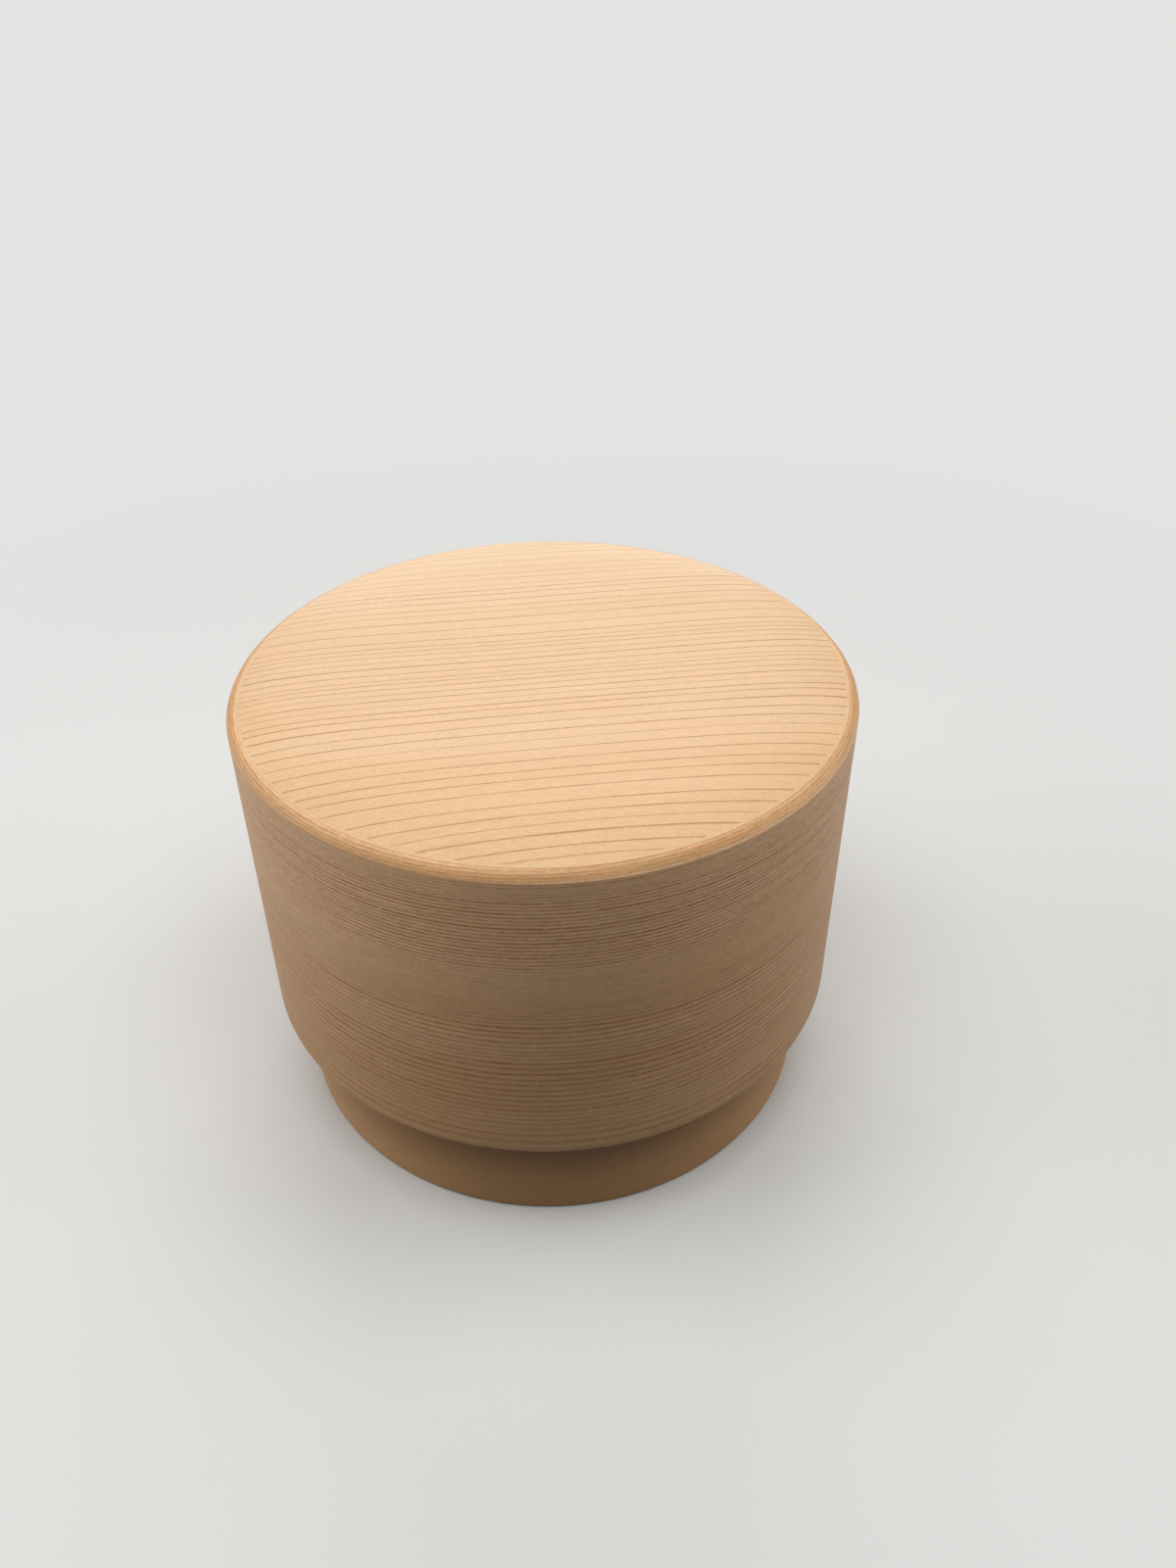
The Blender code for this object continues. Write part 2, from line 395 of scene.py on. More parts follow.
@dataclass(frozen=True, kw_only=True)
class Cedar(ABC):
    """Bare sanded cedar: pale early wood, thin dark late wood and fine fibres.

    Widths are in millimetres, and colours are linear. On the hoops the turn from pale to warm also paints
    light and shade.
    """

    name: str
    # the early wood at tone 0 and 1; on the hoops these also stand for painted light and painted shade
    pale: Colour
    warm_and_shade: Colour
    late: Colour
    zones: tuple[GrainZone, ...]
    low: float = 0.0  # where the zones start on the piece, across the grain
    span: float = 1.0  # how far they reach
    late_width: float  # how far the late wood darkens before its edge, in any ring
    late_share: float  # how much further, as a share of the ring
    edge_width: float  # softness of its sharp edge
    wander: float  # slow waves of the rings
    tremble: float  # small waves of the rings
    seed: float
    streak: float  # strength of the short streaks
    odds: float = 0.45  # how unlike the lines are
    fading: float = 0.35  # how far a line fades along its length
    broken: float = 0.25  # how far it breaks up into dashes
    uneven: float = 0.5  # of the spacing, in rings
    tone_play: float = 0.6  # how far the tone drifts about its mean
    fibre: float = 0.35  # strength of the fine fibres
    speck: float = 0.50  # strength of the fine specks
    roughness: float = 0.52
    roughness_play: float = 0.16  # from one fibre to the next
    relief: float = 0.00002  # in metres

    SLOW_WAVE = Figure(along=0.011, across=0.03, detail=1.0)
    SMALL_WAVE = Figure(along=0.09, across=0.35, detail=2.0)
    FADING = Figure(along=0.06, across=0.8, detail=3.0, roughness=0.6, bare=0.3, full=0.62)
    BREAKS = Figure(along=0.55, across=1.6, detail=2.0, roughness=0.6, bare=0.3, full=0.55)
    FIBRES = Figure(along=0.35, across=7.0, detail=4.0, roughness=0.65)
    STREAKS = Figure(along=0.07, across=2.4, detail=3.0, roughness=0.6, bare=0.35, full=0.65, shift=5.0)
    SPECKS = Figure(along=1.1, across=3.2, detail=3.0, roughness=0.65, shift=9.0)
    DRIFT = Figure(along=0.012, across=0.07, detail=3.0, roughness=0.55, bare=0.3, full=0.7)
    UNEVEN_PITCH = 0.8  # swells of the spacing to a ring
    UNEVEN_DETAIL = 1.0
    LINE_RELIEF = 0.7  # how far the late wood stands up
    FIBRE_RELIEF = 0.6  # how far the fibres stand up

    @abstractmethod
    def places(self, graph: Graph) -> tuple[Socket, Socket]:
        """Gives the places across and along the grain."""

    def waved(self, grain: Grain) -> Socket:
        """Lets the rings wander a little along the grain.

        Args:
            grain: The grain.

        Returns:
            The place across the waved rings.
        """
        graph = grain.graph
        wave = graph.math("MULTIPLY_ADD", grain.noise(self.SLOW_WAVE), self.wander, grain.across)
        wave = graph.math("MULTIPLY_ADD", grain.noise(self.SMALL_WAVE), self.tremble, wave)
        return graph.math("SUBTRACT", wave, (self.wander + self.tremble) / 2)

    def late_wood(self, grain: Grain, share: Socket) -> Socket:
        """Draws the late wood of every ring.

        Args:
            grain: The grain.
            share: Share of the way across the zones.

        Returns:
            How dark the late wood is, from 0 to 1.
        """
        graph = grain.graph
        scale = RingScale(self.zones, self.span)
        count = graph.math("MULTIPLY", graph.curve(share, scale.counts), scale.total)
        spacing = graph.vector(graph.math("MULTIPLY", count, self.UNEVEN_PITCH), self.seed)
        count = graph.math("MULTIPLY_ADD", graph.noise(spacing, self.UNEVEN_DETAIL), self.uneven, count)
        width = graph.math("MULTIPLY", graph.curve(share, scale.curve("ring", scale.widest)), scale.widest)
        phase = graph.math("FRACT", count)
        before = graph.math("MULTIPLY", graph.math("SUBTRACT", 1.0, phase), width)
        after = graph.math("MULTIPLY", phase, width)
        reach = graph.math("MULTIPLY_ADD", width, self.late_share, self.late_width)
        darkening = graph.swell(before, 0.0, reach, 1.0, 0.0)
        edge = graph.swell(after, 0.0, self.edge_width, 1.0, 0.0)
        own = graph.math("MULTIPLY_ADD", graph.chance(graph.math("ROUND", count)), self.odds, 1 - self.odds)
        own = graph.math("MULTIPLY", own, grain.swell(self.BREAKS, 1 - self.broken))
        own = graph.math("MULTIPLY", own, grain.swell(self.FADING, 1 - self.fading))
        depth = graph.math("MULTIPLY", graph.curve(share, scale.curve("depth")), own)
        return graph.math("MULTIPLY", graph.math("MAXIMUM", darkening, edge), depth)

    def tone(self, grain: Grain, share: Socket) -> Socket:
        """Lets the wood turn slowly from pale, 0, to warm, 1, which on the hoops also paints light and
        shade.
        """
        mean = grain.graph.curve(share, RingScale(self.zones, self.span).curve("tone"))
        return grain.graph.math("MULTIPLY_ADD", grain.swell(self.DRIFT, -0.5, 0.5), self.tone_play, mean)

    def build(self) -> bpy.types.Material:
        """Makes the material.

        Returns:
            The material.
        """
        material = bpy.data.materials.new(self.name)
        graph = Graph(material)
        grain = Grain(graph, *self.places(graph), self.seed)
        share = graph.math("DIVIDE", graph.math("SUBTRACT", self.waved(grain), self.low), self.span)
        line = self.late_wood(grain, share)
        fibres = grain.noise(self.FIBRES)
        wood = graph.mix(line, graph.mix(self.tone(grain, share), self.pale, self.warm_and_shade), self.late)
        light = 1 - (self.fibre + self.speck + self.streak) / 2
        for figure, strength in (
            (fibres, self.fibre),
            (grain.noise(self.SPECKS), self.speck),
            (grain.swell(self.STREAKS), self.streak),
        ):
            light = graph.math("MULTIPLY_ADD", figure, strength, light)
        smoothest = self.roughness - self.roughness_play / 2
        roughness = graph.math("MULTIPLY_ADD", fibres, self.roughness_play, smoothest)
        height = graph.math("MULTIPLY", fibres, self.FIBRE_RELIEF)
        height = graph.math("MULTIPLY_ADD", line, self.LINE_RELIEF, height)
        graph.dress(graph.scaled(wood, light), roughness, height, self.relief)
        return material


@dataclass(frozen=True, kw_only=True)
class BoardCedar(Cedar):
    """Cedar of a round board, whose rings cross it in long shallow bows."""

    late_share: float = 0.0
    tremble: float = 0.25
    turn: float  # of the grain about Z
    bow: float  # how much closer the rings lie at the ends of the grain
    plain_band: float = 0.0  # at the rim, where the rings don't show
    reach: float = 1.0  # radius of the board

    def fitted(self, board: RingSize) -> "BoardCedar":
        """Fits the finish to a board."""
        reach = board.outer * MILLIMETRES
        return replace(self, low=-reach, span=2 * reach, reach=reach)

    def places(self, graph: Graph) -> tuple[Socket, Socket]:
        """Gives the places in the bowed rings.

        Args:
            graph: The finish's node tree.

        Returns:
            The places across and along the grain.
        """
        along, across, _ = graph.object_place(-self.turn)
        end_share = graph.math("POWER", graph.math("DIVIDE", along, self.reach), 2.0)
        closer = graph.math("MULTIPLY_ADD", end_share, -self.bow, 1.0)
        return graph.math("MULTIPLY", across, closer), along

    def late_wood(self, grain: Grain, share: Socket) -> Socket:
        """Draws the late wood of every ring, and ends it at the plain band.

        Args:
            grain: The grain.
            share: Share of the way across the zones.

        Returns:
            How dark the late wood is, from 0 to 1.
        """
        inside = grain.graph.math("SUBTRACT", self.reach - self.plain_band, grain.graph.from_axis())
        shown = grain.graph.swell(inside, 0.0, self.edge_width)
        return grain.graph.math("MULTIPLY", super().late_wood(grain, share), shown)


@dataclass(frozen=True, kw_only=True)
class HoopCedar(Cedar):
    """Cedar of a bent strip, whose rings run round it and break at the lap."""

    late_width: float = 0.20
    late_share: float = 0.35
    edge_width: float = 0.22
    tremble: float = 0.30
    lean: float = 1.0  # slope of the rings through the thickness
    over_rim: float = 0.0  # how far they run on over the rim, in widths of the hoop beyond its board
    radius: float = 1.0
    lap_azimuth: float = 0.0

    def fitted(self, hoop: RingSize, board: RingSize) -> "HoopCedar":
        """Fits the finish to a hoop.

        Args:
            hoop: The hoop.
            board: The board that is let into it.

        Returns:
            The fitted finish.
        """
        span = hoop.head - hoop.foot + (hoop.outer - board.outer) * self.over_rim
        return replace(
            self,
            low=hoop.foot * MILLIMETRES,
            span=span * MILLIMETRES,
            radius=hoop.outer * MILLIMETRES,
            lap_azimuth=SEAM_AZIMUTH - Hoop.lap_margin / hoop.outer,
        )

    def places(self, graph: Graph) -> tuple[Socket, Socket]:
        """Gives the places in the bent strip.

        Args:
            graph: The finish's node tree.

        Returns:
            The places across and along the grain.
        """
        x, y, height = graph.object_place(math.pi - self.lap_azimuth)
        into = graph.math("SUBTRACT", graph.from_axis(), self.radius)
        across = graph.math("MULTIPLY_ADD", into, -self.lean, height)
        return across, graph.math("MULTIPLY", graph.math("ARCTAN2", y, x), self.radius)


@dataclass(frozen=True)
class CherryBark:
    """Scraped cherry bark: dark red-brown, with short pale pores along the strip."""

    name: str
    dark: Colour = (0.100, 0.034, 0.018)
    red: Colour = (0.215, 0.078, 0.036)
    pore: Colour = (0.400, 0.210, 0.110)
    pore_share: float = 0.75  # how far a pore pales
    roughness: float = 0.34
    pore_roughness: float = 0.30  # how much rougher a pore is
    relief: float = 0.00003  # in metres

    STREAKS = Figure(along=2.6, across=0.25, detail=4.0, roughness=0.6, bare=0.32, full=0.68)
    PORES = Figure(along=4.2, across=0.8, detail=2.0, bare=0.64, full=0.74)
    PORE_SEED = 3.0

    def build(self) -> bpy.types.Material:
        """Makes the material.

        Returns:
            The material.
        """
        material = bpy.data.materials.new(self.name)
        graph = Graph(material)
        x, y, height = graph.object_place()
        tone = Grain(graph, height, x, y).swell(self.STREAKS)
        spots = Grain(graph, height, x, self.PORE_SEED).swell(self.PORES, 0.0, self.pore_share)
        bark = graph.mix(spots, graph.mix(tone, self.dark, self.red), self.pore)
        roughness = graph.math("MULTIPLY_ADD", spots, self.pore_roughness, self.roughness)
        graph.dress(bark, roughness, graph.math("ADD", tone, spots), self.relief)
        return material


def zones(*rows: tuple[float, ...]) -> tuple[GrainZone, ...]:
    """Makes the zones across a piece from rows of share, ring width, depth and tone."""
    return tuple(GrainZone(*row) for row in rows)


# The rings of a hoop are listed from its foot up to its rim
# Lid hoop tone: warmer low on the wall and pale towards its top, which is painted light from above besides
# the wood's own slow drift; its pale is brighter than bare cedar for the same painted light
LID_CEDAR_WITH_PAINTED_LIGHT = HoopCedar(
    name="lid_hoop_cedar_painted_light",
    pale=(0.970, 0.620, 0.345),
    warm_and_shade=(0.670, 0.380, 0.160),
    late=(0.390, 0.088, 0.002),
    wander=2.4,
    seed=11.3,
    streak=0.12,
    odds=0.35,
    broken=0.50,
    uneven=0.4,
    tone_play=0.25,
    fibre=0.80,
    speck=0.65,
    lean=0.5,
    over_rim=0.5,
    zones=zones(
        (0.000, 2.30, 0.10, 0.30), (0.010, 2.30, 0.50, 0.45), (0.025, 2.30, 0.60, 0.75),
        (0.060, 2.30, 0.65, 0.80), (0.090, 1.90, 0.75, 0.78), (0.140, 1.35, 0.60, 0.74),
        (0.190, 1.50, 0.90, 0.76), (0.270, 1.60, 0.95, 0.70), (0.360, 1.55, 1.00, 0.60),
        (0.390, 1.00, 0.85, 0.55), (0.430, 1.45, 1.00, 0.52), (0.480, 1.30, 0.95, 0.50),
        (0.520, 1.00, 0.75, 0.52), (0.560, 0.75, 0.40, 0.55), (0.600, 0.55, 0.20, 0.48),
        (0.660, 0.60, 0.30, 0.36), (0.690, 0.85, 0.85, 0.14), (0.770, 0.92, 1.00, 0.04),
        (0.880, 0.90, 1.00, 0.00), (0.910, 0.72, 0.70, 0.00), (0.950, 0.72, 0.45, 0.00),
        (0.960, 0.72, 0.38, 0.20), (0.967, 0.72, 0.48, 0.75), (0.980, 0.72, 0.52, 0.90),
        (0.990, 0.72, 0.48, 0.75), (1.000, 0.72, 0.36, 0.45),
    ),
)

# Body hoop tone: pale at the foot and warmest and darkest just under the lid's skirt, which is painted
# shadow of the skirt; it warms less again higher up, where the lid hides it
BODY_CEDAR_WITH_PAINTED_SHADOW = HoopCedar(
    name="body_hoop_cedar_painted_shadow",
    pale=(0.920, 0.525, 0.228),
    warm_and_shade=(0.395, 0.182, 0.057),
    late=(0.300, 0.090, 0.010),
    wander=2.0,
    seed=31.1,
    streak=0.10,
    tone_play=0.2,
    fibre=0.40,
    speck=0.30,
    zones=zones(
        (0.00, 0.90, 0.25, 0.10), (0.07, 1.00, 0.32, 0.28), (0.15, 1.30, 0.36, 0.62),
        (0.24, 1.20, 0.36, 0.82), (0.36, 1.00, 0.45, 0.80), (0.52, 1.40, 0.60, 0.62),
        (0.74, 1.10, 0.60, 0.42), (1.00, 0.80, 0.60, 0.30),
    ),
)

# The rings of a board are listed across its grain, those of the top board from its front to its back
TOP_CEDAR = BoardCedar(
    name="top_board_cedar",
    pale=(0.780, 0.520, 0.293),
    warm_and_shade=(0.745, 0.470, 0.250),
    late=(0.310, 0.110, 0.004),
    late_width=0.38,
    edge_width=0.20,
    wander=1.6,
    seed=3.7,
    streak=0.03,
    fibre=0.45,
    speck=0.35,
    turn=0.0969,
    bow=0.05,
    plain_band=0.5,
    zones=zones(
        (0.00, 2.8, 0.85, 1.00), (0.11, 3.1, 0.92, 1.00), (0.15, 4.1, 0.96, 0.95),
        (0.20, 2.7, 0.92, 0.90), (0.24, 3.9, 0.96, 0.80), (0.30, 2.9, 0.92, 0.65), (0.34, 3.4, 0.92),
        (0.39, 2.2, 0.88), (0.44, 2.4, 0.88), (0.48, 1.6, 0.82), (0.51, 2.7, 0.88), (0.56, 2.2, 0.88),
        (0.59, 1.6, 0.82), (0.61, 3.7, 0.88), (0.67, 4.2, 0.88), (0.70, 2.5, 0.84),
        (0.73, 3.3, 0.84, 0.45), (0.77, 2.3, 0.80, 0.40), (0.81, 2.8, 0.80, 0.35),
        (0.86, 3.0, 0.76, 0.30), (0.89, 4.6, 0.76, 0.30), (0.93, 3.1, 0.74, 0.30),
        (1.00, 2.3, 0.74, 0.30),
    ),
)

BOTTOM_CEDAR = BoardCedar(
    name="bottom_board_cedar",
    pale=(0.800, 0.570, 0.360),
    warm_and_shade=(0.760, 0.510, 0.300),
    late=(0.430, 0.245, 0.120),
    late_width=0.50,
    edge_width=0.26,
    wander=2.5,
    seed=21.9,
    streak=0.04,
    turn=1.1,
    bow=-0.04,
    zones=zones(
        (0.00, 1.8, 0.75), (0.20, 2.4, 0.80), (0.45, 3.2, 0.85), (0.60, 2.6, 0.80), (0.80, 3.6, 0.85),
        (1.00, 2.8, 0.80),
    ),
)


@dataclass
class Piece(ABC):
    """One visible piece, the solid that it stands for and the body that it rides on."""

    name: str
    node: str
    body: str
    slot: Slot
    finish: Cedar | CherryBark

    SHARP_ANGLE = math.radians(18)

    @abstractmethod
    def model(self) -> Shape:
        """Models the piece in its place."""

    def build(self) -> bpy.types.Object:
        """Models and dresses the piece, and ties it to the frame.

        Returns:
            The piece's object.
        """
        piece = as_object(self.model(), self.name, self.SHARP_ANGLE)
        piece.data.materials.append(self.finish.build())
        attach(piece, self.body)
        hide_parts(self.node)
        triangles = sum(len(face.vertices) - 2 for face in piece.data.polygons)
        LOG.info("%s: %d triangles, rides on %s", self.name, triangles, self.body)
        return piece


@dataclass
class Lacing:
    """Sizes of a bark strip that sews a lap, out and in through slits, on one hoop."""

    foot: float
    head: float
    outer_face: float
    inner_face: float
    width: float
    hoop_radius: float
    thickness: float = 0.0006
    outer_run: float = 0.0080
    inner_run: float = 0.0040
    side_gap: float = 0.00008
    slit_gap: float = 0.00010
    columns: int = 3  # of the hoop's mesh that a slit is wide

    @classmethod
    def of(cls, node: str, hoop_radius: float) -> "Lacing":
        """Reads the strip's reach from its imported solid."""
        low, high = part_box(node)
        return cls(low[2], high[2], high[1], low[1], high[0] - low[0], hoop_radius)

    def slits(self) -> list[float]:
        """Places the slits.

        Returns:
            Their heights, rising.
        """
        levels = []
        level = self.foot + self.inner_run
        while level + self.outer_run < self.head:
            levels += [level, level + self.outer_run]
            level += self.outer_run + self.inner_run
        return levels

    def slit_half(self) -> float:
        """Gives half the height of a slit."""
        return self.thickness / 2 + self.slit_gap

    def runs(self, face: Face) -> list[Point]:
        """Places the channels in a wall in which the strip's runs lie.

        Args:
            face: The wall.

        Returns:
            The lowest and the highest level of each channel, slits included.
        """
        half = self.slit_half()
        ends = self.slits()
        if face is Face.INNER:
            tail = self.inner_run + self.slit_gap - half
            ends = [ends[0] - tail, *ends, ends[-1] + tail]
        return [(low - half, high + half) for low, high in zip(ends[::2], ends[1::2])]

    def rows(self) -> list[float]:
        """Gives the heights at which the hoop's mesh needs an edge for the channels."""
        return sorted(level for face in Face for run in self.runs(face) for level in run)

    def steps(self) -> int:
        """Gives the steps of a full turn of the hoop's mesh, whose columns fit the slits."""
        column = (self.width + 2 * self.side_gap) / self.columns
        return round(math.tau * self.hoop_radius / column)

    def half_angle(self) -> float:
        """Gives half the angle that a slit takes up on the hoop."""
        return self.columns * math.pi / self.steps()

    def strip_half_angle(self) -> float:
        """Gives half the angle that the strip takes up in its slits."""
        return self.half_angle() - self.side_gap / self.hoop_radius


@dataclass
class Hoop(Piece):
    """A bent strip with rounded edges, its two ends lapped, glued and sewn."""

    size: RingSize
    board: RingSize
    lacing: Lacing
    edge: float = 0.0008
    row_pitch: float = 0.0040
    lap_length: float = 0.0340
    lap_margin: float = 0.0085  # from the outer end of the lap to the middle of the lacing
    lap_line_width: float = 0.00036
    lap_line_depth: float = 0.00020
    lap_drop: float = 0.00014  # of the wall that runs on under the outer end
    lap_fade: float = 0.0120

    FACING = 0.1  # least part of a wall face's normal that points out of the wall
    SCORE_STEPS = 2  # of the turn, to either side of a lap line, that it may cut

    @abstractmethod
    def outline(self) -> list[Point]:
        """Gives the section of the hoop."""

    def model(self) -> Shape:
        """Models the hoop in its place.

        Returns:
            The hoop.
        """
        shape = spun(self.outline(), True, self.lacing.steps(), SEAM_AZIMUTH + self.lacing.half_angle())
        self.cut_channels(shape)
        lap_end = SEAM_AZIMUTH - self.lap_margin / self.size.outer
        self.score(shape, lap_end, Face.OUTER)
        self.score(shape, lap_end + self.lap_length / self.size.outer, Face.INNER)
        self.drop_wall(shape, lap_end)
        return shape

    def joint_radius(self) -> float:
        """Gives the radius of the joint between the hoop and its board."""
        return self.board.outer + TOUCH_GAP / 2

    def wall(self, face: Face) -> float:
        """Gives the radius of a wall."""
        return self.size.outer if face is Face.OUTER else self.size.inner

    def levels(self, low: float, high: float) -> list[float]:
        """Divides a stretch of a wall into rows that keep to the channels.

        Args:
            low: Its lowest level.
            high: Its highest level.

        Returns:
            The levels of the rows, rising.
        """
        stops = [stop for stop in self.lacing.rows() if low < stop < high]
        levels = [low]
        for start, end in zip([low, *stops], [*stops, high]):
            rows = max(1, math.ceil((end - start) / self.row_pitch))
            levels += [start + (end - start) * row / rows for row in range(1, rows + 1)]
        return levels

    def near(self, shape: Shape, face: Face, azimuth: float, reach: float) -> list[bmesh.types.BMFace]:
        """Finds the faces of a wall near an azimuth.

        Args:
            shape: The hoop.
            face: The wall.
            azimuth: Where they lie.
            reach: How far they may lie to either side, as an angle.

        Returns:
            The faces.
        """
        toward = Vector((math.cos(azimuth), math.sin(azimuth)))
        least = math.cos(reach)
        middle = (self.size.outer + self.size.inner) / 2
        found = []
        for candidate in shape.faces:
            centre = candidate.calc_center_median().xy
            out = centre.length
            if centre.dot(toward) > out * least and (out - middle) * face.value > 0:
                if candidate.normal.xy.dot(centre) / out * face.value > self.FACING:
                    found.append(candidate)
        return found

    def patch(self, shape: Shape, face: Face, run: Point) -> list[bmesh.types.BMFace]:
        """Finds the faces of a wall, as wide as a slit, between two levels of the lacing."""
        found = self.near(shape, face, SEAM_AZIMUTH, self.lacing.strip_half_angle())
        return [candidate for candidate in found if run[0] < candidate.calc_center_median().z < run[1]]

    def sink(self, shape: Shape, face: Face, run: Point) -> None:
        """Sinks a channel into a wall, in which one run of the strip lies.

        Args:
            shape: The hoop.
            face: The wall.
            run: The channel's lowest and highest level.
        """
        lacing = self.lacing
        if face is Face.OUTER:
            depth = self.size.outer - lacing.outer_face + lacing.thickness
        else:
            depth = lacing.inner_face + lacing.thickness - self.size.inner
        faces = self.patch(shape, face, run)
        pushed = bmesh.ops.extrude_face_region(shape, geom=faces)
        bmesh.ops.delete(shape, geom=faces, context="FACES")
        radius = self.wall(face) - face.value * (depth + lacing.slit_gap / 2)
        for part in pushed["geom"]:
            if isinstance(part, bmesh.types.BMVert):
                part.co.xy = part.co.xy.normalized() * radius

    def cut_channels(self, shape: Shape) -> None:
        """Cuts the strip's channels in both walls, and the slits between them.

        Args:
            shape: The hoop.
        """
        for face in Face:
            for run in self.lacing.runs(face):
                self.sink(shape, face, run)
        half = self.lacing.slit_half()
        for slit in self.lacing.slits():
            ends = [end for face in Face for end in self.patch(shape, face, (slit - half, slit + half))]
            bmesh.ops.delete(shape, geom=ends, context="FACES")
            rims = [edge for edge in shape.edges if edge.is_boundary]
            bmesh.ops.bridge_loops(shape, edges=rims)
        bmesh.ops.recalc_face_normals(shape, faces=shape.faces)

    def score(self, shape: Shape, azimuth: float, face: Face) -> None:
        """Scores the line where one end of the lap shows on a wall.

        Args:
            shape: The hoop.
            azimuth: Where the line stands.
            face: The wall that it is on.
        """
        toward = Vector((math.cos(azimuth), math.sin(azimuth)))
        reach = self.SCORE_STEPS * math.tau / self.lacing.steps()
        line = []
        for side in (-1, 1, 0):
            geom = set()
            for candidate in self.near(shape, face, azimuth, reach):
                geom.update([candidate, *candidate.edges, *candidate.verts])
            angle = azimuth + side * self.lap_line_width / 2 / self.wall(face)
            plane = (-math.sin(angle), math.cos(angle), 0)
            cut = bmesh.ops.bisect_plane(
                shape, geom=list(geom), dist=MERGE_DISTANCE, plane_co=(0, 0, 0), plane_no=plane
            )
            line = [part for part in cut["geom_cut"] if isinstance(part, bmesh.types.BMVert)]
        for vert in line:
            vert.co.xy -= toward * self.lap_line_depth * face.value

    def drop_wall(self, shape: Shape, lap_end: float) -> None:
        """Lets the wall that comes out from under the lap lie a trace lower at first.

        Args:
            shape: The hoop.
            lap_end: Azimuth of the lap's outer end.
        """
        joint = self.joint_radius() + HAIRLINE
        for vert in shape.verts:
            out = vert.co.xy.length
            past = (lap_end - math.atan2(vert.co.y, vert.co.x)) * self.size.outer
            if 0 < past < self.lap_fade and out > joint:
                reach = (out - joint) / (self.size.outer - joint)
                vert.co.xy *= 1 - self.lap_drop * reach * (1 - past / self.lap_fade) ** 2 / out


@dataclass
class LidHoop(Hoop):
    """The lid's hoop, with a broad rounding round the board that is let into its rim."""

    edge: float = 0.0009
    rim_start: float = 72.0  # angle of the rounding at the board, nearly level with the board's own fall
    rim_end: float = 20.0  # angle at which the rounding meets the wall, which leaves a faint arris
    rim_steps: int = 12
    arris: float = 0.00012

    def outline(self) -> list[Point]:
        """Draws the section of the hoop.

        Returns:
            Its points of radius and height, from the joint with the board outwards.
        """
        size = self.size
        rim = self.joint_radius() + HAIRLINE / 2
        start = math.radians(self.rim_start)
        radius = (size.outer - rim) / (math.cos(math.radians(self.rim_end)) - math.cos(start))
        centre = (rim - radius * math.cos(start), size.head - radius * math.sin(start))
        rounding = arc(centre, radius, self.rim_start, self.rim_end, self.rim_steps)
        edge = self.edge
        ledge = self.board.foot - HAIRLINE
        walls = self.levels(size.foot + edge, rounding[-1][1])
        inner = self.levels(size.foot + edge, ledge - self.arris)
        return [
            (rim, size.head - self.arris),
            *rounding[1:],
            *[(size.outer, height) for height in reversed(walls[1:-1])],
            *arc((size.outer - edge, size.foot + edge), edge, 0, -90, EDGE_STEPS),
            *arc((size.inner + edge, size.foot + edge), edge, -90, -180, EDGE_STEPS),
            *[(size.inner, height) for height in inner[1:]],
            (size.inner + self.arris, ledge),
            (rim, ledge),
        ]


@dataclass
class BodyHoop(Hoop):
    """The body's hoop, with a rebate in its foot for the bottom board."""

    def outline(self) -> list[Point]:
        """Draws the section of the hoop.

        Returns:
            Its points of radius and height, from the middle of the rim outwards.
        """
        size = self.size
        rim = self.joint_radius() + HAIRLINE / 2
        edge = self.edge
        shelf = self.board.head + HAIRLINE
        walls = self.levels(size.foot + edge, size.head - edge)
        inner = self.levels(shelf, size.head - edge)
        return [
            *arc((size.outer - edge, size.head - edge), edge, 90, 0, EDGE_STEPS),
            *[(size.outer, height) for height in reversed(walls[1:-1])],
            *arc((size.outer - edge, size.foot + edge), edge, 0, -90, EDGE_STEPS),
            (rim, size.foot),
            (rim, shelf),
            *[(size.inner, height) for height in inner[:-1]],
            *arc((size.inner + edge, size.head - edge), edge, 180, 90, EDGE_STEPS),
        ]


@dataclass
class Board(Piece):
    """A round board, let into a hoop."""

    size: RingSize
    crown: float = 0.0  # how far the middle stands above the rim
    crown_power: float = 7.0  # flat in the middle, falling away near the rim
    crown_steps: int = 36
    arris: float = 0.00012
    arris_start: float = 60.0  # angle at which the upper arris leaves the crown
    arris_steps: int = 3
    steps: int = 256

    def model(self) -> Shape:
        """Models the board in its place.

        Returns:
            The board.
        """
        radius = self.size.outer + (TOUCH_GAP - HAIRLINE) / 2
        shoulder = radius - self.arris
        crown = []
        for step in range(self.crown_steps + 1):
            share = math.sin(math.pi / 2 * step / self.crown_steps)
            crown.append((shoulder * share, self.size.head - self.crown * share**self.crown_power))
        outline = [
            *crown,
            *arc((shoulder, crown[-1][1] - self.arris), self.arris, self.arris_start, 0, self.arris_steps),
            *arc((shoulder, self.size.foot + self.arris), self.arris, 0, -90, self.arris_steps),
            (shoulder / 2, self.size.foot),
            (0, self.size.foot),
        ]
        return spun(outline, False, self.steps, 0.0)


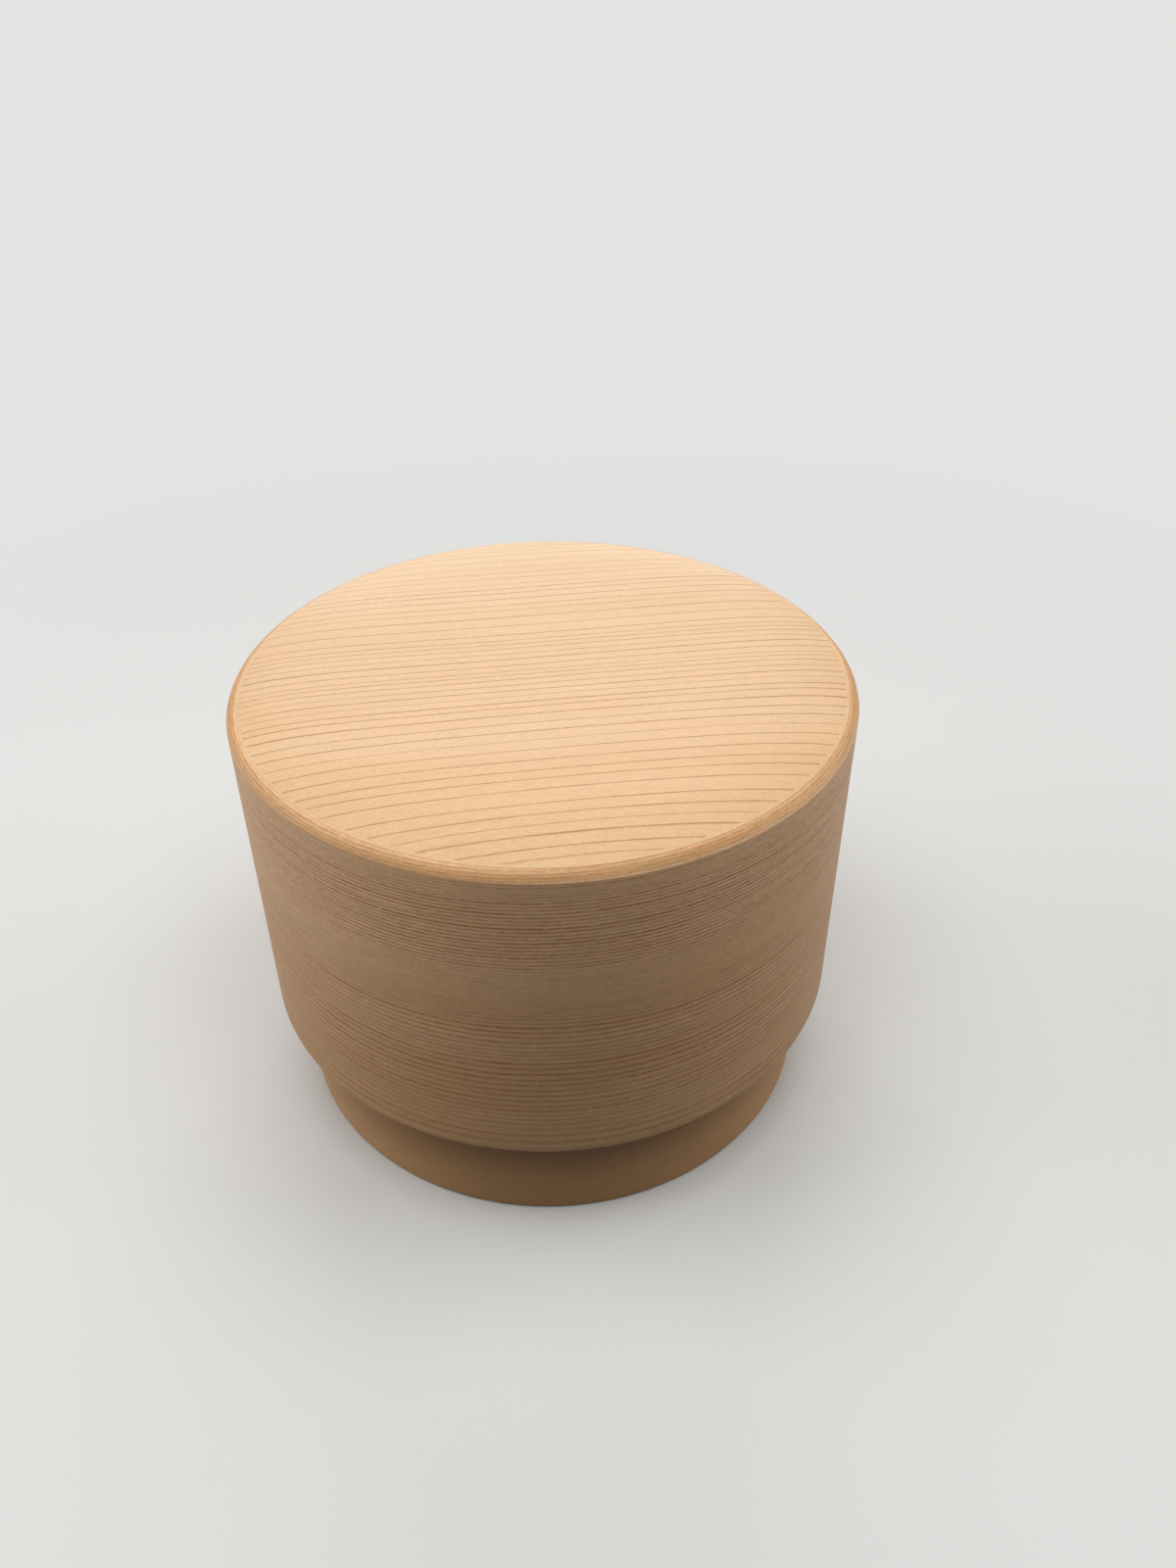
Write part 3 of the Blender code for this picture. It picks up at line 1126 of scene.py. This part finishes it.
@dataclass
class BarkLace(Piece):
    """The bark strip that sews a lap, woven through the slits of its hoop."""

    lacing: Lacing
    bend: float = 0.0005
    bend_steps: int = 5
    across_steps: int = 8
    arris: float = 0.00014
    arris_steps: int = 2
    arris_angle: float = math.radians(60)  # the least at which the strip's faces meet in an arris
    run_pitch: float = 0.0010

    def line(self) -> list[Point]:
        """Draws the middle line of the strip.

        Returns:
            Its points of radius and height, rising.
        """
        lacing = self.lacing
        slits = lacing.slits()
        outside = lacing.outer_face - lacing.thickness / 2
        inside = lacing.inner_face + lacing.thickness / 2
        corners = [(inside, slits[0] - lacing.inner_run)]
        for number, slit in enumerate(slits):
            before, after = (inside, outside) if number % 2 == 0 else (outside, inside)
            corners += [(before, slit), (after, slit)]
        corners.append((inside, slits[-1] + lacing.inner_run))
        points = [corners[0]]
        for start, corner, end in zip(corners, corners[1:], corners[2:]):
            points += self.turn(Vector(start), Vector(corner), Vector(end))
        points.append(corners[-1])
        return self.divided(points)

    def turn(self, start: Vector, corner: Vector, end: Vector) -> list[Point]:
        """Rounds one square corner of the line.

        Args:
            start: The corner before it.
            corner: The corner.
            end: The corner after it.

        Returns:
            The points of the bend.
        """
        into = (corner - start).normalized()
        out = (end - corner).normalized()
        centre = corner + (out - into) * self.bend
        points = []
        for step in range(self.bend_steps + 1):
            angle = math.pi / 2 * step / self.bend_steps
            points.append(tuple(centre + (into * math.sin(angle) - out * math.cos(angle)) * self.bend))
        return points

    def divided(self, points: list[Point]) -> list[Point]:
        """Divides the straight runs of the line.

        Args:
            points: The line.

        Returns:
            The line with points along its runs.
        """
        line = [points[0]]
        for start, end in zip(points, points[1:]):
            parts = max(1, round(math.dist(start, end) / self.run_pitch))
            line += [tuple(Vector(start).lerp(Vector(end), part / parts)) for part in range(1, parts + 1)]
        return line

    def model(self) -> Shape:
        """Models the strip in its place.

        Returns:
            The strip.
        """
        half = self.lacing.strip_half_angle()
        shape = spun(self.line(), False, self.across_steps, SEAM_AZIMUTH - half, 2 * half)
        offset = self.lacing.thickness / 2
        for vert, normal in [(vert, vert.normal.copy()) for vert in shape.verts]:
            vert.co += normal * offset
        bmesh.ops.solidify(shape, geom=shape.faces[:], thickness=self.lacing.thickness)
        bmesh.ops.recalc_face_normals(shape, faces=shape.faces)
        ridges = [edge for edge in shape.edges if edge.calc_face_angle(0) > self.arris_angle]
        kind = {"offset_type": "OFFSET", "profile": 0.5, "material": -1, "affect": "EDGES"}
        bmesh.ops.bevel(shape, geom=ridges, offset=self.arris, segments=self.arris_steps, **kind)
        return shape


@dataclass
class Half:
    """One half of the box: a hoop, the board let into it and the lacing of its lap."""

    hoop: RingSize
    board: RingSize
    lacing: Lacing

    NODES: ClassVar[tuple[str, str, str]]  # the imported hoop, board and lacing
    NAMES: ClassVar[tuple[str, str, str]]  # the pieces that stand for them
    BODY: ClassVar[str]  # that they ride on
    HOOP: ClassVar[type[Hoop]]
    CEDARS: ClassVar[tuple[HoopCedar, BoardCedar]]
    BARK: ClassVar[CherryBark]

    @classmethod
    def of(cls, nodes: dict[str, bpy.types.Object]) -> "Half":
        """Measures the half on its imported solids."""
        hoop, board = [RingSize.of(nodes[name]) for name in cls.NODES[:2]]
        return cls(hoop, board, Lacing.of(cls.NODES[2], hoop.outer))

    def build(self) -> list[bpy.types.Object]:
        """Builds the half's pieces.

        Returns:
            The hoop, the board and the lacing.
        """
        hoop, board, lace = [(name, node, self.BODY) for name, node in zip(self.NAMES, self.NODES)]
        bent, flat = self.CEDARS
        wood = bent.fitted(self.hoop, self.board)
        crown = max(0.0, self.board.head - self.hoop.head)
        pieces = (
            self.HOOP(*hoop, Slot.HOOP, wood, self.hoop, self.board, self.lacing),
            Board(*board, Slot.BOARD, flat.fitted(self.board), self.board, crown),
            BarkLace(*lace, Slot.BARK, self.BARK, self.lacing),
        )
        return [piece.build() for piece in pieces]


@dataclass
class Lid(Half):
    """The lid: a hoop, a crowned board let into its rim, and the lacing of its lap."""

    NODES = ("lid_hoop", "top_board", "lid_bark_lace")
    NAMES = ("lid_hoop_wood", "top_board_wood", "lid_lace_bark")
    BODY = "lid"
    HOOP = LidHoop
    CEDARS = (LID_CEDAR_WITH_PAINTED_LIGHT, TOP_CEDAR)
    BARK = CherryBark("lid_cherry_bark")


@dataclass
class Body(Half):
    """The body: a hoop, a bottom board let into its foot, and the lacing of its lap."""

    NODES = ("body_hoop", "bottom_board", "body_bark_lace")
    NAMES = ("body_hoop_wood", "bottom_board_wood", "body_lace_bark")
    BODY = "base"
    HOOP = BodyHoop
    CEDARS = (BODY_CEDAR_WITH_PAINTED_SHADOW, BOTTOM_CEDAR)
    BARK = CherryBark("body_cherry_bark")


@dataclass(frozen=True)
class Lamp:
    """A soft square lamp that faces a point."""

    name: str
    place: Place
    side: float
    power: float
    aim: Place = (0.0, 0.0, 0.06)

    def build(self) -> None:
        """Hangs the lamp."""
        light = bpy.data.lights.new(self.name, "AREA")
        light.shape = "SQUARE"
        light.size = self.side
        light.energy = self.power
        lamp = bpy.data.objects.new(self.name, light)
        lamp.location = self.place
        lamp.rotation_euler = (Vector(self.aim) - Vector(self.place)).to_track_quat("-Z", "Y").to_euler()
        bpy.context.scene.collection.objects.link(lamp)


@dataclass
class Studio:
    """A pale floor, soft lamps and the camera."""

    floor_side: float = 12.0
    backdrop: Colour = (0.78, 0.78, 0.765)  # the floor and the sky, as they are seen
    floor_bounce: Colour = (0.03, 0.03, 0.03)  # the floor, as it lights the box
    sky_light: float = 0.05
    fade_start: float = 0.16  # distances over which the floor turns plain
    fade_end: float = 0.50
    focal_pixels: float = 1283.0
    image_height: float = 1600.0
    sensor: float = 36.0
    near_limit: float = 0.01
    pitch: float = math.radians(36.263)
    yaw: float = math.radians(2.293)
    roll: float = math.radians(-0.390)
    camera_back: float = 0.23579
    camera_height: float = 0.24640

    LAMPS = (
        Lamp("overhead", (0.0, -0.14, 0.60), 0.52, 2.40, aim=(0.0, -0.09, 0.0)),
        Lamp("left", (-0.72, 0.04, 0.41), 0.60, 2.8),
        Lamp("right", (0.72, 0.09, 0.41), 0.60, 2.2),
        Lamp("back", (0.0, 0.95, 0.45), 0.80, 5.2),
    )

    def build(self) -> None:
        """Sets up the floor, the lamps, the world and the camera."""
        self.lay_floor()
        for lamp in self.LAMPS:
            lamp.build()
        self.light_sky()
        self.place_camera()
        bpy.context.scene.view_settings.view_transform = "Standard"

    def seen(self, graph: Graph) -> Socket:
        """Tells the rays that show a surface to the eye from those that only carry its light.

        Args:
            graph: The nodes of the surface.

        Returns:
            1 for the rays that show it, and 0 for the rest.
        """
        rays = graph.add("LightPath", {}).outputs
        mirrored = graph.math("MAXIMUM", rays["Is Glossy Ray"], rays["Is Transmission Ray"])
        return graph.math("MAXIMUM", rays["Is Camera Ray"], mirrored)

    def lay_floor(self) -> None:
        """Lays the floor, pale to the eye, which keeps the box's shadow and turns plain far off."""
        shape = bmesh.new()
        bmesh.ops.create_grid(shape, x_segments=1, y_segments=1, size=self.floor_side / 2)
        floor = as_object(shape, "floor", 0.0)
        material = bpy.data.materials.new("pale_floor")
        graph = Graph(material)
        fade = graph.swell(graph.from_axis(), self.fade_start * MILLIMETRES, self.fade_end * MILLIMETRES)
        seen = self.seen(graph)
        shaded = graph.add("BsdfDiffuse", {"Color": graph.mix(seen, self.floor_bounce, self.backdrop)})
        plain = graph.add("Emission", {"Color": self.backdrop})
        graph.blend(graph.math("MULTIPLY", fade, seen), shaded, plain, "Material Output")
        graph.nodes.remove(graph.nodes["Principled BSDF"])
        floor.data.materials.append(material)

    def light_sky(self) -> None:
        """Makes the world pale to the eye and a weak even light to the box."""
        world = bpy.data.worlds.new("sky")
        graph = Graph(world)
        weak = graph.nodes["Background"]
        graph.feed(weak.inputs["Color"], (1.0, 1.0, 1.0))
        graph.feed(weak.inputs["Strength"], self.sky_light)
        pale = graph.add("Background", {"Color": self.backdrop})
        to_eye = graph.add("LightPath", {}).outputs["Is Camera Ray"]
        graph.blend(to_eye, weak, pale, "World Output")
        bpy.context.scene.world = world

    def place_camera(self) -> None:
        """Places the camera at the photograph's viewpoint."""
        lens = bpy.data.cameras.new("camera")
        lens.sensor_width = self.sensor
        lens.lens = self.focal_pixels / self.image_height * self.sensor
        lens.clip_start = self.near_limit
        camera = bpy.data.objects.new("camera", lens)
        heading = Matrix.Rotation(-self.yaw, 4, "Z")
        tilt = Matrix.Rotation(math.pi / 2 - self.pitch, 4, "X")
        place = Matrix.Translation((0.0, -self.camera_back, self.camera_height))
        camera.matrix_world = place @ heading @ tilt @ Matrix.Rotation(self.roll, 4, "Z")
        bpy.context.scene.collection.objects.link(camera)
        bpy.context.scene.camera = camera


def main() -> None:
    """Builds the box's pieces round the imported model, and the studio round them."""
    logging.basicConfig(level=logging.INFO, format="%(message)s")
    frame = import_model()
    nodes = frame["nodes"]
    pieces = Lid.of(nodes).build() + Body.of(nodes).build()
    LOG.info("%d pieces stand for %d solids", len(pieces), len(nodes))
    Studio().build()


if __name__ == "__main__":
    main()
